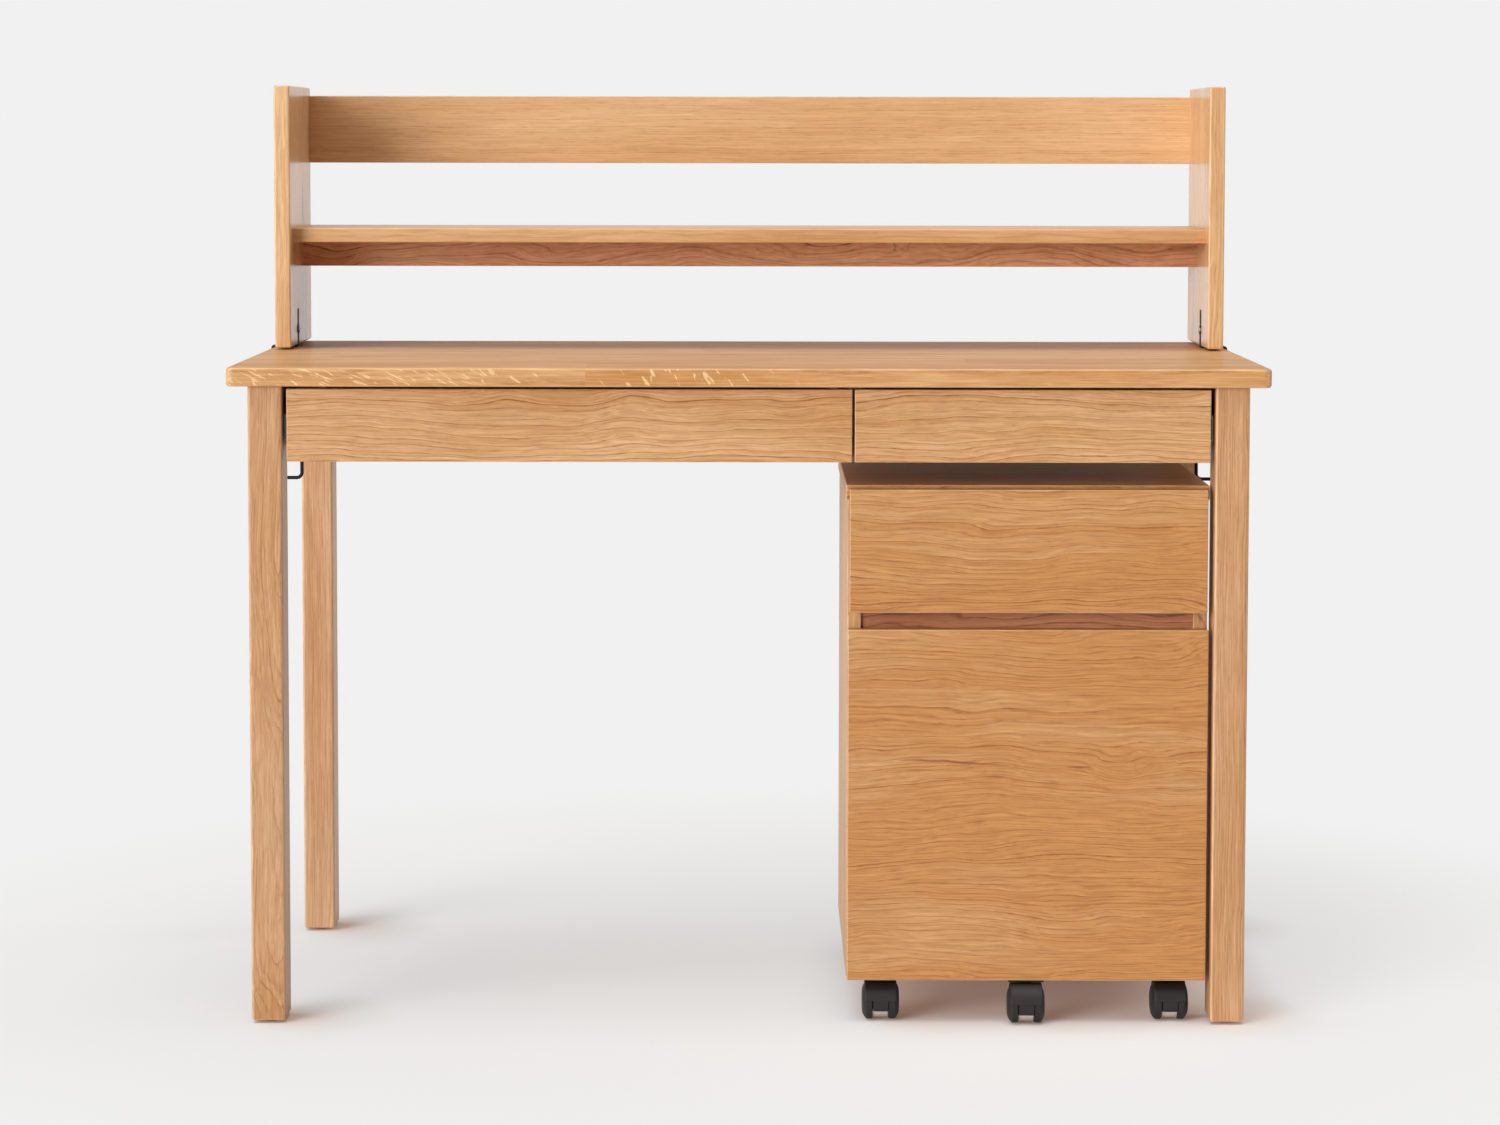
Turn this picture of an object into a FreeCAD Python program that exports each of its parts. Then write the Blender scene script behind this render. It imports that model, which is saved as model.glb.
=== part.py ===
import FreeCAD, Part
import math
import os

# A writing desk with a hutch on its top and a rolling drawer pedestal under it.
# Lengths are millimetres. X runs to the right of the person who sits at the desk,
# Y runs away from that person and Z runs up. The origin is on the floor, under the
# middle of the desk top.

# Desk top
top_width = 1100.0
top_depth = 550.0
top_height = 700.0
top_thick = 20.0
top_corner_round = 9.0
top_edge_round = 3.0

# Legs and their glides
leg_wide = 36.0
leg_deep = 50.0
leg_side_setback = 22.0
leg_end_setback = 10.0
leg_edge_round = 3.0
glide_radius = 12.0
glide_thick = 3.0

# Aprons and the divider between the two desk drawers
apron_height = 80.0
side_apron_thick = 24.0
rear_apron_thick = 20.0
rear_apron_setback = 12.0
divider_thick = 18.0
divider_height = 76.0
divider_front_gap = 3.0
board_edge_round = 1.5

# Angle brackets that hold the top on the aprons and the divider
angle_leg = 18.0
angle_wide = 16.0
angle_thick = 2.0
angle_end_distance = 90.0

# Screws
screw_head_radius = 3.5
screw_head_high = 1.6
screw_shank_radius = 1.8
screw_shank_long = 12.0

# Fronts of the four drawers
front_thick = 18.0
front_edge_round = 1.2

# Desk drawers
desk_front_recess = 4.0
desk_front_height = 77.0
desk_front_top_gap = 3.0
desk_front_leg_gap = 4.5
desk_front_mid_gap = 2.7
right_front_width = 375.6
desk_box_lift = 10.0
desk_box_height = 50.0
desk_box_rear_gap = 116.0
desk_bottom_thick = 5.0

# Drawer boxes
box_wall = 12.0
groove_deep = 5.0
groove_lift = 6.0

# Drawer slides: a fixed channel on the carcass and a runner inside it
slide_gap_wide = 12.7
slide_height = 27.0
slide_steel = 1.5
slide_running_gap = 0.4
slide_channel_deep = 9.5
slide_front_gap = 2.0
slide_rear_gap = 8.0

# Hutch
hutch_inset = 10.0
hutch_depth = 205.0
hutch_side_thick = 18.0
hutch_side_height = 298.0
hutch_edge_round = 2.0
board_thick = 12.0
board_height = 79.0
board_top_drop = 9.5
shelf_thick = 16.0
shelf_lift = 119.7
shelf_setback = 23.0
shelf_rail_thick = 18.0
shelf_rail_height = 30.0
shelf_rail_setback = 118.0

# Steel straps that clamp the hutch to the desk top
strap_wide = 17.0
strap_thick = 2.3
strap_setback = 63.5
strap_leaf_height = 42.0
strap_lip_long = 32.0
strap_bend_round = 1.0
strap_screw_height = 18.5
strap_screw_head_radius = 5.0
strap_screw_head_high = 2.2

# Bag hooks under the side aprons
hook_wire_radius = 2.0
hook_from_front = 353.0
hook_wire_outset = 19.3
hook_drop = 46.7
hook_reach = 40.0
hook_rise = 24.0
hook_bend = 6.0
hook_plate_wide = 20.0
hook_plate_long = 46.0
hook_plate_thick = 2.0
hook_screw_spacing = 32.0

# Pedestal carcass
pedestal_leg_gap = 2.5
pedestal_head_gap = 25.7
pedestal_top_width = 386.0
pedestal_depth = 400.0
pedestal_top_thick = 16.0
pedestal_top_overhang = 1.5
pedestal_side_thick = 15.0
pedestal_bottom_thick = 15.0
pedestal_back_thick = 12.0
pedestal_rail_thick = 15.0
pedestal_rail_height = 30.0
pedestal_rail_recess = 4.0
pedestal_face_setback = 17.0

# Pedestal drawers
pedestal_front_gap = 1.5
upper_front_drop = 3.3
upper_front_height = 131.0
upper_front_inset = 3.5
finger_gap = 18.0
file_front_inset = 2.0
upper_box_lift = 14.0
upper_box_height = 95.0
file_box_lift = 28.0
file_box_top_drop = 60.0
pedestal_box_rear_gap = 10.0
pedestal_bottom_panel_thick = 6.0

# Twin-wheel casters
caster_height = 46.0
caster_plate_size = 38.0
caster_plate_thick = 2.0
caster_swivel_gap = 0.3
caster_trail = 15.0
caster_side_inset = 37.0
caster_front_inset = 19.5
caster_rear_inset = 27.0
stem_radius = 4.0
stem_long = 14.0
stem_clearance = 0.05
wheel_radius = 20.0
wheel_inner_offset = 8.5
wheel_tread_wide = 6.5
wheel_dome_deep = 4.8
wheel_hub_radius = 9.0
wheel_edge_chamfer = 1.0
wheel_dome_shares = (0.76, 0.42)
axle_radius = 3.0
axle_clearance = 0.05
hood_wide = 34.0
hood_thick = 1.7
hood_wheel_gap = 0.8
hood_edge_round = 1.2
hood_rim_lift = 3.0
web_wide = 16.0
web_floor_gap = 11.0
boss_radius = 8.0

# Bracket that carries the fifth caster under the file drawer's front
fifth_plate_front_inset = 2.0
fifth_tab_wide = 36.0
fifth_tab_height = 26.0
fifth_notch_gap = 4.0

# How far a cutting shape runs past what it cuts
overrun = 5.0

# How much of an edge's length must lie along an axis for it to count as straight along it
straight_share = 0.999

SIDES = (-1, 1)
SIDE_NAMES = {-1: "left", 1: "right"}
UP = FreeCAD.Vector(0, 0, 1)

# Places worked out from the sizes above
top_under = top_height - top_thick
front_edge = -top_depth / 2
back_edge = top_depth / 2
leg_outer = top_width / 2 - leg_side_setback
leg_inner = leg_outer - leg_wide
leg_front = front_edge + leg_end_setback
leg_back = back_edge - leg_end_setback
apron_z = (top_under - apron_height, top_under)

desk_face = leg_front + desk_front_recess
desk_front_z = (top_under - desk_front_top_gap - desk_front_height, top_under - desk_front_top_gap)
divider_x = leg_inner - desk_front_leg_gap - right_front_width - desk_front_mid_gap / 2
divider_front = desk_face + front_thick + divider_front_gap
rear_apron_face = leg_back - rear_apron_setback - rear_apron_thick

hutch_outer = top_width / 2 - hutch_inset
hutch_inner = hutch_outer - hutch_side_thick
hutch_front = back_edge - hutch_depth
hutch_z = (top_height + strap_thick, top_height + strap_thick + hutch_side_height)
shelf_z = (hutch_z[0] + shelf_lift, hutch_z[0] + shelf_lift + shelf_thick)
strap_y = (hutch_front + strap_setback, hutch_front + strap_setback + strap_wide)
strap_mid = hutch_front + strap_setback + strap_wide / 2
hook_y = front_edge + hook_from_front

pedestal_x = leg_inner - pedestal_leg_gap - pedestal_top_width / 2
pedestal_outer = pedestal_top_width / 2 - pedestal_top_overhang
pedestal_inner = pedestal_outer - pedestal_side_thick
pedestal_face = front_edge + pedestal_face_setback
pedestal_front = pedestal_face + front_thick + pedestal_front_gap
pedestal_back = pedestal_face + pedestal_depth
pedestal_top_z = (desk_front_z[0] - pedestal_head_gap - pedestal_top_thick,
                  desk_front_z[0] - pedestal_head_gap)
upper_front_z = (pedestal_top_z[1] - upper_front_drop - upper_front_height,
                 pedestal_top_z[1] - upper_front_drop)
file_front_z = (caster_height, upper_front_z[0] - finger_gap)

fifth_stem_y = pedestal_face + fifth_plate_front_inset + caster_plate_size / 2


def vector(x, y, z):
    return FreeCAD.Vector(x, y, z)


def span(centre, width):
    """The low and high end of a width about its centre."""
    return (centre - width / 2, centre + width / 2)


def block(x, y, z):
    """A box between the two ends given along each axis, in either order."""
    corner = vector(min(x), min(y), min(z))
    return Part.makeBox(max(x) - min(x), max(y) - min(y), max(z) - min(z), corner)


def is_upright(edge):
    """True for an edge that runs along Z."""
    return edge.BoundBox.ZLength > straight_share * edge.Length


def rounded(shape, radius, wanted=None):
    """The shape with its edges rounded: all of them, or those that are wanted."""
    edges = [edge for edge in shape.Edges if wanted is None or wanted(edge)]
    return shape.makeFillet(radius, edges)


def cylinder(radius, start, end):
    """A round bar from one point to another."""
    along = end.sub(start)
    return Part.makeCylinder(radius, along.Length, start, along)


def save(name, *solids):
    """Write one named piece, which may be a group of separate solids."""
    shape = solids[0] if len(solids) == 1 else Part.makeCompound(list(solids))
    shape.exportStep(f"parts/{name}.step")


def screw(seat, towards, head_radius=screw_head_radius, head_high=screw_head_high):
    """A pan-head screw whose head sits on the seat point, with its shank going towards a side."""
    head = cylinder(head_radius, seat.sub(towards * head_high), seat)
    return head.fuse(screw_shank(seat, towards))


def screw_shank(seat, towards):
    return cylinder(screw_shank_radius, seat, seat.add(towards * screw_shank_long))


def angle_seats():
    """Where each angle bracket stands: the corner point under the top and the way it faces."""
    seats = []
    for side in SIDES:
        for end in SIDES:
            seats.append((vector(side * leg_inner, end * (leg_back - leg_deep - angle_end_distance), top_under),
                          vector(-side, 0, 0)))
        seats.append((vector(side * (leg_inner - angle_end_distance), rear_apron_face, top_under),
                      vector(0, -1, 0)))
    for end in SIDES:
        seats.append((vector(divider_x - divider_thick / 2,
                             end * (leg_back - leg_deep - angle_end_distance), top_under),
                      vector(-1, 0, 0)))
    return seats


def angle_bracket(corner, facing):
    """A steel angle with one leg on the wood behind it and one under the top."""
    across = vector(facing.y, -facing.x, 0)
    low = corner.sub(across * (angle_wide / 2))
    ends = [low, low.add(across * angle_wide)]
    flat_end = [point.add(facing * angle_leg) for point in ends]
    thick_end = [point.add(facing * angle_thick) for point in ends]
    points_flat = ends + flat_end
    points_wall = ends + thick_end
    flat = block([point.x for point in points_flat], [point.y for point in points_flat],
                 (corner.z - angle_thick, corner.z))
    wall = block([point.x for point in points_wall], [point.y for point in points_wall],
                 (corner.z - angle_leg, corner.z))
    return flat.fuse(wall).removeSplitter()


def angle_screw_places():
    """The seat and direction of the two screws in each angle bracket."""
    places = []
    reach = (angle_leg + angle_thick) / 2
    for corner, facing in angle_seats():
        places.append((corner.add(facing * reach).sub(UP * angle_thick), UP))
        places.append((corner.add(facing * angle_thick).sub(UP * reach), facing * -1))
    return places


def strap_screw_places():
    """The screws of each hutch strap: one through the leaf, one up through the lip."""
    leaf = []
    lip = []
    for side in SIDES:
        leaf.append((vector(side * hutch_inner, strap_mid, hutch_z[0] + strap_screw_height),
                     vector(side, 0, 0)))
        lip_x = side * (top_width / 2 - strap_lip_long / 2)
        lip.append((vector(lip_x, strap_mid, top_under - strap_thick), UP))
    return leaf, lip


def hook_screw_places():
    """The two screws of each bag hook's plate."""
    places = []
    for side in SIDES:
        for end in SIDES:
            places.append((vector(side * (leg_inner + side_apron_thick / 2),
                                  hook_y + end * hook_screw_spacing / 2,
                                  apron_z[0] - hook_plate_thick), UP))
    return places


def small_screw_places():
    return angle_screw_places() + strap_screw_places()[1] + hook_screw_places()


def screw_holes():
    """Every screw's shank, cut from the wood that it goes into."""
    places = small_screw_places() + strap_screw_places()[0]
    return Part.makeCompound([screw_shank(seat, towards) for seat, towards in places])


def make_desk_top(holes):
    top = block(span(0, top_width), span(0, top_depth), (top_under, top_height))
    top = rounded(top, top_corner_round, is_upright)
    top = rounded(top, top_edge_round, lambda edge: not is_upright(edge))
    save("desk_top", top.cut(holes))


def make_legs():
    glides = []
    for end, end_name in ((-1, "front"), (1, "rear")):
        for side in SIDES:
            x = (side * leg_inner, side * leg_outer)
            y = (end * leg_back, end * (leg_back - leg_deep))
            leg = block(x, y, (glide_thick, top_under))
            leg = rounded(leg, leg_edge_round, is_upright)
            leg = rounded(leg, leg_edge_round, lambda edge: edge.BoundBox.ZMax < glide_thick + leg_edge_round / 2)
            save(f"leg_{end_name}_{SIDE_NAMES[side]}", leg)
            foot = vector(sum(x) / 2, sum(y) / 2, 0)
            glides.append(cylinder(glide_radius, foot, foot.add(UP * glide_thick)))
    save("leg_glides", *glides)


def make_aprons(holes):
    for side in SIDES:
        apron = block((side * leg_inner, side * (leg_inner + side_apron_thick)),
                      span(0, 2 * (leg_back - leg_deep)), apron_z)
        save(f"side_apron_{SIDE_NAMES[side]}", apron.cut(holes))
    rear = block(span(0, 2 * leg_inner), (rear_apron_face, rear_apron_face + rear_apron_thick), apron_z)
    save("rear_apron", rear.cut(holes))
    divider = block(span(divider_x, divider_thick), (divider_front, rear_apron_face),
                    (top_under - divider_height, top_under))
    save("drawer_divider", divider.cut(holes))


def make_desk_fasteners(holes):
    save("top_brackets", *[angle_bracket(corner, facing).cut(holes) for corner, facing in angle_seats()])
    screws = [screw(seat, towards) for seat, towards in small_screw_places()]
    for seat, towards in strap_screw_places()[0]:
        screws.append(screw(seat, towards, strap_screw_head_radius, strap_screw_head_high))
    save("desk_screws", *screws)


def make_hutch(holes):
    pockets = Part.makeCompound([strap_blank(side) for side in SIDES])
    for side in SIDES:
        panel = block((side * hutch_inner, side * hutch_outer), (hutch_front, back_edge), hutch_z)
        panel = rounded(panel, hutch_edge_round)
        save(f"hutch_side_{SIDE_NAMES[side]}", panel.cut(pockets).cut(holes))
    across = span(0, 2 * hutch_inner)
    board_top = hutch_z[1] - board_top_drop
    board = block(across, (back_edge - board_thick, back_edge), (board_top - board_height, board_top))
    save("hutch_board", rounded(board, board_edge_round, runs_along_x))
    shelf = block(across, (hutch_front + shelf_setback, back_edge), shelf_z)
    save("hutch_shelf", rounded(shelf, board_edge_round, runs_along_x))
    rail_front = hutch_front + shelf_rail_setback
    rail = block(across, (rail_front, rail_front + shelf_rail_thick),
                 (shelf_z[0] - shelf_rail_height, shelf_z[0]))
    save("hutch_shelf_rail", rounded(rail, board_edge_round, lambda edge: is_low_along_x(edge, shelf_z[0])))


def runs_along_x(edge):
    return edge.BoundBox.XLength > straight_share * edge.Length


def is_low_along_x(edge, ceiling):
    """True for an edge along X that is clearly under the given height."""
    return runs_along_x(edge) and edge.BoundBox.ZMax < ceiling - shelf_rail_height / 2


def strap_blank(side):
    """A strap bent from the hutch side's inner face, under it and round the top's edge."""
    leaf_x = side * hutch_inner
    edge_x = side * top_width / 2
    far_x = edge_x + side * strap_thick
    lip_x = edge_x - side * strap_lip_long
    leaf = block((leaf_x, leaf_x + side * strap_thick), strap_y,
                 (top_height, hutch_z[0] + strap_leaf_height))
    foot = block((leaf_x, far_x), strap_y, (top_height, top_height + strap_thick))
    drop = block((edge_x, far_x), strap_y, (top_under - strap_thick, top_height + strap_thick))
    lip = block((lip_x, far_x), strap_y, (top_under - strap_thick, top_under))
    return leaf.fuse([foot, drop, lip]).removeSplitter()


def make_straps(holes):
    for side in SIDES:
        strap = rounded(strap_blank(side), strap_thick + strap_bend_round, is_outer_bend)
        save(f"hutch_strap_{SIDE_NAMES[side]}", strap.cut(holes))


def is_outer_bend(edge):
    """True for the strap's edges across its width that lie outside the desk top."""
    box = edge.BoundBox
    runs_along_y = box.YLength > straight_share * strap_wide
    return runs_along_y and min(abs(box.XMin), abs(box.XMax)) > (top_width + strap_thick) / 2


def hook_wire(side):
    """Round wire: down from the plate, outwards, and up again at its tip."""
    x_in = side * (leg_inner + hook_wire_outset)
    x_out = x_in + side * hook_reach
    top = apron_z[0] - hook_plate_thick
    low = apron_z[0] - hook_drop
    corner = hook_bend * (1 - math.cos(math.pi / 4))
    start = vector(x_in, hook_y, top)
    down = vector(x_in, hook_y, low + hook_bend)
    turn = vector(x_in + side * corner, hook_y, low + corner)
    flat = vector(x_in + side * hook_bend, hook_y, low)
    flat_end = vector(x_out - side * hook_bend, hook_y, low)
    tip_turn = vector(x_out - side * corner, hook_y, low + corner)
    rise = vector(x_out, hook_y, low + hook_bend)
    tip = vector(x_out, hook_y, low + hook_rise)
    path = Part.Wire([Part.LineSegment(start, down).toShape(),
                      Part.Arc(down, turn, flat).toShape(),
                      Part.LineSegment(flat, flat_end).toShape(),
                      Part.Arc(flat_end, tip_turn, rise).toShape(),
                      Part.LineSegment(rise, tip).toShape()])
    section = Part.Wire([Part.makeCircle(hook_wire_radius, start, UP)])
    wire = path.makePipeShell([section], True, False)
    return wire.fuse(Part.makeSphere(hook_wire_radius, tip))


def make_bag_hooks(holes):
    hooks = []
    for side in SIDES:
        plate = block(span(side * (leg_inner + side_apron_thick / 2), hook_plate_wide),
                      span(hook_y, hook_plate_long),
                      (apron_z[0] - hook_plate_thick, apron_z[0]))
        hooks.append(plate.cut(holes).fuse(hook_wire(side)))
    save("bag_hooks", *hooks)


def slide_pair(walls, box_x, box_y, mid_z):
    """The fixed channels on two facing walls and the runners on a drawer box between them."""
    y = (box_y[0] + slide_front_gap, box_y[1] - slide_rear_gap)
    past_y = (y[0] - overrun, y[1] + overrun)
    runner_height = slide_height - 2 * (slide_steel + slide_running_gap)
    channels = []
    runners = []
    for wall, face, inward in ((walls[0], box_x[0], 1), (walls[1], box_x[1], -1)):
        channel = block((wall, wall + inward * slide_channel_deep), y, span(mid_z, slide_height))
        hollow = block((wall + inward * slide_steel, face), past_y,
                       span(mid_z, slide_height - 2 * slide_steel))
        channels.append(channel.cut(hollow))
        reach = wall + inward * (slide_steel + slide_running_gap)
        runner = block((reach, face), y, span(mid_z, runner_height))
        pocket = block((reach, face - inward * slide_steel), past_y,
                       span(mid_z, runner_height - 2 * slide_steel))
        runners.append(runner.cut(pocket))
    return channels, runners


def make_drawer(name, front_x, front_z, face_y, walls, box_z, box_back, bottom_thick):
    """A drawer's front, sides, back, bottom and runners. Returns the channels it runs in."""
    front_back = face_y + front_thick
    box_x = (walls[0] + slide_gap_wide, walls[1] - slide_gap_wide)
    inner_x = (box_x[0] + box_wall, box_x[1] - box_wall)
    bottom_z = (box_z[0] + groove_lift, box_z[0] + groove_lift + bottom_thick)
    bottom = block((inner_x[0] - groove_deep, inner_x[1] + groove_deep),
                   (front_back - groove_deep, box_back), bottom_z)
    front = rounded(block(front_x, (face_y, front_back), front_z), front_edge_round)
    sides = [block((box_x[0], inner_x[0]), (front_back, box_back), box_z),
             block((inner_x[1], box_x[1]), (front_back, box_back), box_z)]
    back = block(inner_x, (box_back - box_wall, box_back), (bottom_z[1], box_z[1]))
    channels, runners = slide_pair(walls, box_x, (front_back, box_back), sum(box_z) / 2)
    save(f"{name}_front", front.cut(bottom))
    save(f"{name}_sides", *[panel.cut(bottom) for panel in sides])
    save(f"{name}_back", back)
    save(f"{name}_bottom", bottom)
    save(f"{name}_runners", *runners)
    return channels


def make_desk_drawers():
    box_low = desk_front_z[0] + desk_box_lift
    box_z = (box_low, box_low + desk_box_height)
    divider_faces = span(divider_x, divider_thick)
    split = span(divider_x, desk_front_mid_gap)
    outer = leg_inner - desk_front_leg_gap
    box_back = rear_apron_face - desk_box_rear_gap
    channels = make_drawer("drawer_left", (-outer, split[0]), desk_front_z, desk_face,
                           (-leg_inner, divider_faces[0]), box_z, box_back, desk_bottom_thick)
    channels += make_drawer("drawer_right", (split[1], outer), desk_front_z, desk_face,
                            (divider_faces[1], leg_inner), box_z, box_back, desk_bottom_thick)
    save("desk_slide_rails", *channels)


def make_pedestal_carcass():
    top = block(span(pedestal_x, pedestal_top_width), (pedestal_front, pedestal_back), pedestal_top_z)
    save("pedestal_top", rounded(top, board_edge_round))
    for side in SIDES:
        panel = block((pedestal_x + side * pedestal_inner, pedestal_x + side * pedestal_outer),
                      (pedestal_front, pedestal_back), (caster_height, pedestal_top_z[0]))
        save(f"pedestal_side_{SIDE_NAMES[side]}", rounded(panel, board_edge_round, is_upright))
    inner_x = span(pedestal_x, 2 * pedestal_inner)
    back = block(inner_x, (pedestal_back - pedestal_back_thick, pedestal_back),
                 (caster_height + pedestal_bottom_thick, pedestal_top_z[0]))
    save("pedestal_back", back)
    bottom = block(inner_x, (pedestal_front, pedestal_back),
                   (caster_height, caster_height + pedestal_bottom_thick))
    notch = block(span(pedestal_x, caster_plate_size + 2 * fifth_notch_gap),
                  (pedestal_front - overrun, fifth_stem_y + caster_plate_size / 2 + fifth_notch_gap),
                  (caster_height - overrun, caster_height + pedestal_bottom_thick + overrun))
    save("pedestal_bottom", bottom.cut(notch))
    rail_front = pedestal_front + pedestal_rail_recess
    rail = block(inner_x, (rail_front, rail_front + pedestal_rail_thick),
                 span((upper_front_z[0] + file_front_z[1]) / 2, pedestal_rail_height))
    save("pedestal_rail", rail)


def make_pedestal_drawers():
    walls = span(pedestal_x, 2 * pedestal_inner)
    box_back = pedestal_back - pedestal_back_thick - pedestal_box_rear_gap
    upper_x = span(pedestal_x, pedestal_top_width - 2 * upper_front_inset)
    upper_low = upper_front_z[0] + upper_box_lift
    channels = make_drawer("upper_drawer", upper_x, upper_front_z, pedestal_face, walls,
                           (upper_low, upper_low + upper_box_height),
                           box_back, pedestal_bottom_panel_thick)
    file_x = span(pedestal_x, pedestal_top_width - 2 * file_front_inset)
    channels += make_drawer("file_drawer", file_x, file_front_z, pedestal_face, walls,
                            (file_front_z[0] + file_box_lift, file_front_z[1] - file_box_top_drop),
                            box_back, pedestal_bottom_panel_thick)
    save("pedestal_slide_rails", *channels)


def caster_plate(x, y):
    """The steel plate under the wood and the stem that the caster turns on."""
    plate = block(span(x, caster_plate_size), span(y, caster_plate_size),
                  (caster_height - caster_plate_thick, caster_height))
    under = vector(x, y, caster_height - caster_plate_thick)
    stem = cylinder(stem_radius, under.sub(UP * stem_long), under)
    return plate, stem


def caster_hood(x, y):
    """The fender over both wheels, with the web between them and the boss round the stem."""
    axle = vector(x, y - caster_trail, wheel_radius)
    outer = wheel_radius + hood_wheel_gap + hood_thick
    half = hood_wide / 2
    fender = cylinder(outer, axle.sub(vector(half, 0, 0)), axle.add(vector(half, 0, 0)))
    fender = rounded(fender, hood_edge_round)
    past = half + overrun
    bore = cylinder(outer - hood_thick, axle.sub(vector(past, 0, 0)), axle.add(vector(past, 0, 0)))
    core = cylinder(outer, axle.sub(vector(web_wide / 2, 0, 0)), axle.add(vector(web_wide / 2, 0, 0)))
    crown = fender.cut(bore).fuse(core)
    rim = wheel_radius + hood_rim_lift
    upper = block(span(x, 2 * past), span(axle.y, 2 * past), (rim, rim + outer))
    web = cylinder(wheel_radius, axle.sub(vector(web_wide / 2, 0, 0)), axle.add(vector(web_wide / 2, 0, 0)))
    above_floor = block(span(x, 2 * past), span(axle.y, 2 * past), (web_floor_gap, web_floor_gap + 2 * outer))
    stem_foot = caster_height - caster_plate_thick - stem_long
    boss_top = caster_height - caster_plate_thick - caster_swivel_gap
    boss = cylinder(boss_radius, vector(x, y, wheel_radius), vector(x, y, boss_top))
    hood = crown.common(upper).fuse([web.common(above_floor), boss])
    stem_bore = cylinder(stem_radius + stem_clearance, vector(x, y, stem_foot - caster_swivel_gap),
                         vector(x, y, boss_top + overrun))
    axle_bore = cylinder(axle_radius + axle_clearance, axle.sub(vector(past, 0, 0)),
                         axle.add(vector(past, 0, 0)))
    return hood.cut(stem_bore).cut(axle_bore).removeSplitter()


def caster_wheel(axle, side):
    """One domed wheel, turned about the axle."""
    inner = wheel_inner_offset
    tread_end = inner + wheel_tread_wide
    outer = tread_end + wheel_dome_deep
    out_share, down_share = wheel_dome_shares

    def at(offset, radius):
        return axle.add(vector(side * offset, 0, radius))

    rim = at(tread_end, wheel_radius)
    hub = at(outer, wheel_hub_radius)
    dome_mid = at(tread_end + out_share * wheel_dome_deep,
                  wheel_radius - down_share * (wheel_radius - wheel_hub_radius))
    path = [Part.makeLine(at(inner, axle_radius), at(inner, wheel_radius - wheel_edge_chamfer)),
            Part.makeLine(at(inner, wheel_radius - wheel_edge_chamfer),
                          at(inner + wheel_edge_chamfer, wheel_radius)),
            Part.makeLine(at(inner + wheel_edge_chamfer, wheel_radius), rim),
            Part.Arc(rim, dome_mid, hub).toShape(),
            Part.makeLine(hub, at(outer, axle_radius)),
            Part.makeLine(at(outer, axle_radius), at(inner, axle_radius))]
    profile = Part.Face(Part.Wire(path))
    return profile.revolve(axle, vector(1, 0, 0), 360)


def make_caster(name, x, y):
    axle = vector(x, y - caster_trail, wheel_radius)
    reach = vector(wheel_inner_offset + wheel_tread_wide + wheel_dome_deep, 0, 0)
    save(f"{name}_hood", caster_hood(x, y))
    save(f"{name}_wheels", caster_wheel(axle, -1), caster_wheel(axle, 1),
         cylinder(axle_radius, axle.sub(reach), axle.add(reach)))


def make_casters():
    plates = []
    across = pedestal_outer - caster_side_inset
    ends = (("front", pedestal_front + caster_front_inset), ("rear", pedestal_back - caster_rear_inset))
    for end_name, y in ends:
        for side in SIDES:
            x = pedestal_x + side * across
            make_caster(f"caster_{end_name}_{SIDE_NAMES[side]}", x, y)
            plates += caster_plate(x, y)
    save("pedestal_caster_plates", *plates)
    make_caster("caster_drawer", pedestal_x, fifth_stem_y)


def make_fifth_bracket():
    """The plate and stem under the file drawer's front, with a tab up the front's back."""
    plate, stem = caster_plate(pedestal_x, fifth_stem_y)
    tab_y = pedestal_face + front_thick
    tab = block(span(pedestal_x, fifth_tab_wide),
                (tab_y, tab_y + caster_plate_thick),
                (caster_height - caster_plate_thick, caster_height + fifth_tab_height))
    save("file_drawer_caster_bracket", plate.fuse(tab).removeSplitter(), stem)


os.makedirs("parts", exist_ok=True)
desk_holes = screw_holes()
make_desk_top(desk_holes)
make_legs()
make_aprons(desk_holes)
make_desk_fasteners(desk_holes)
make_hutch(desk_holes)
make_straps(desk_holes)
make_bag_hooks(desk_holes)
make_desk_drawers()
make_pedestal_carcass()
make_pedestal_drawers()
make_casters()
make_fifth_bracket()
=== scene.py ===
import math
from dataclasses import dataclass

import bmesh
import bpy
from mathutils import Matrix, Vector


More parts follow.
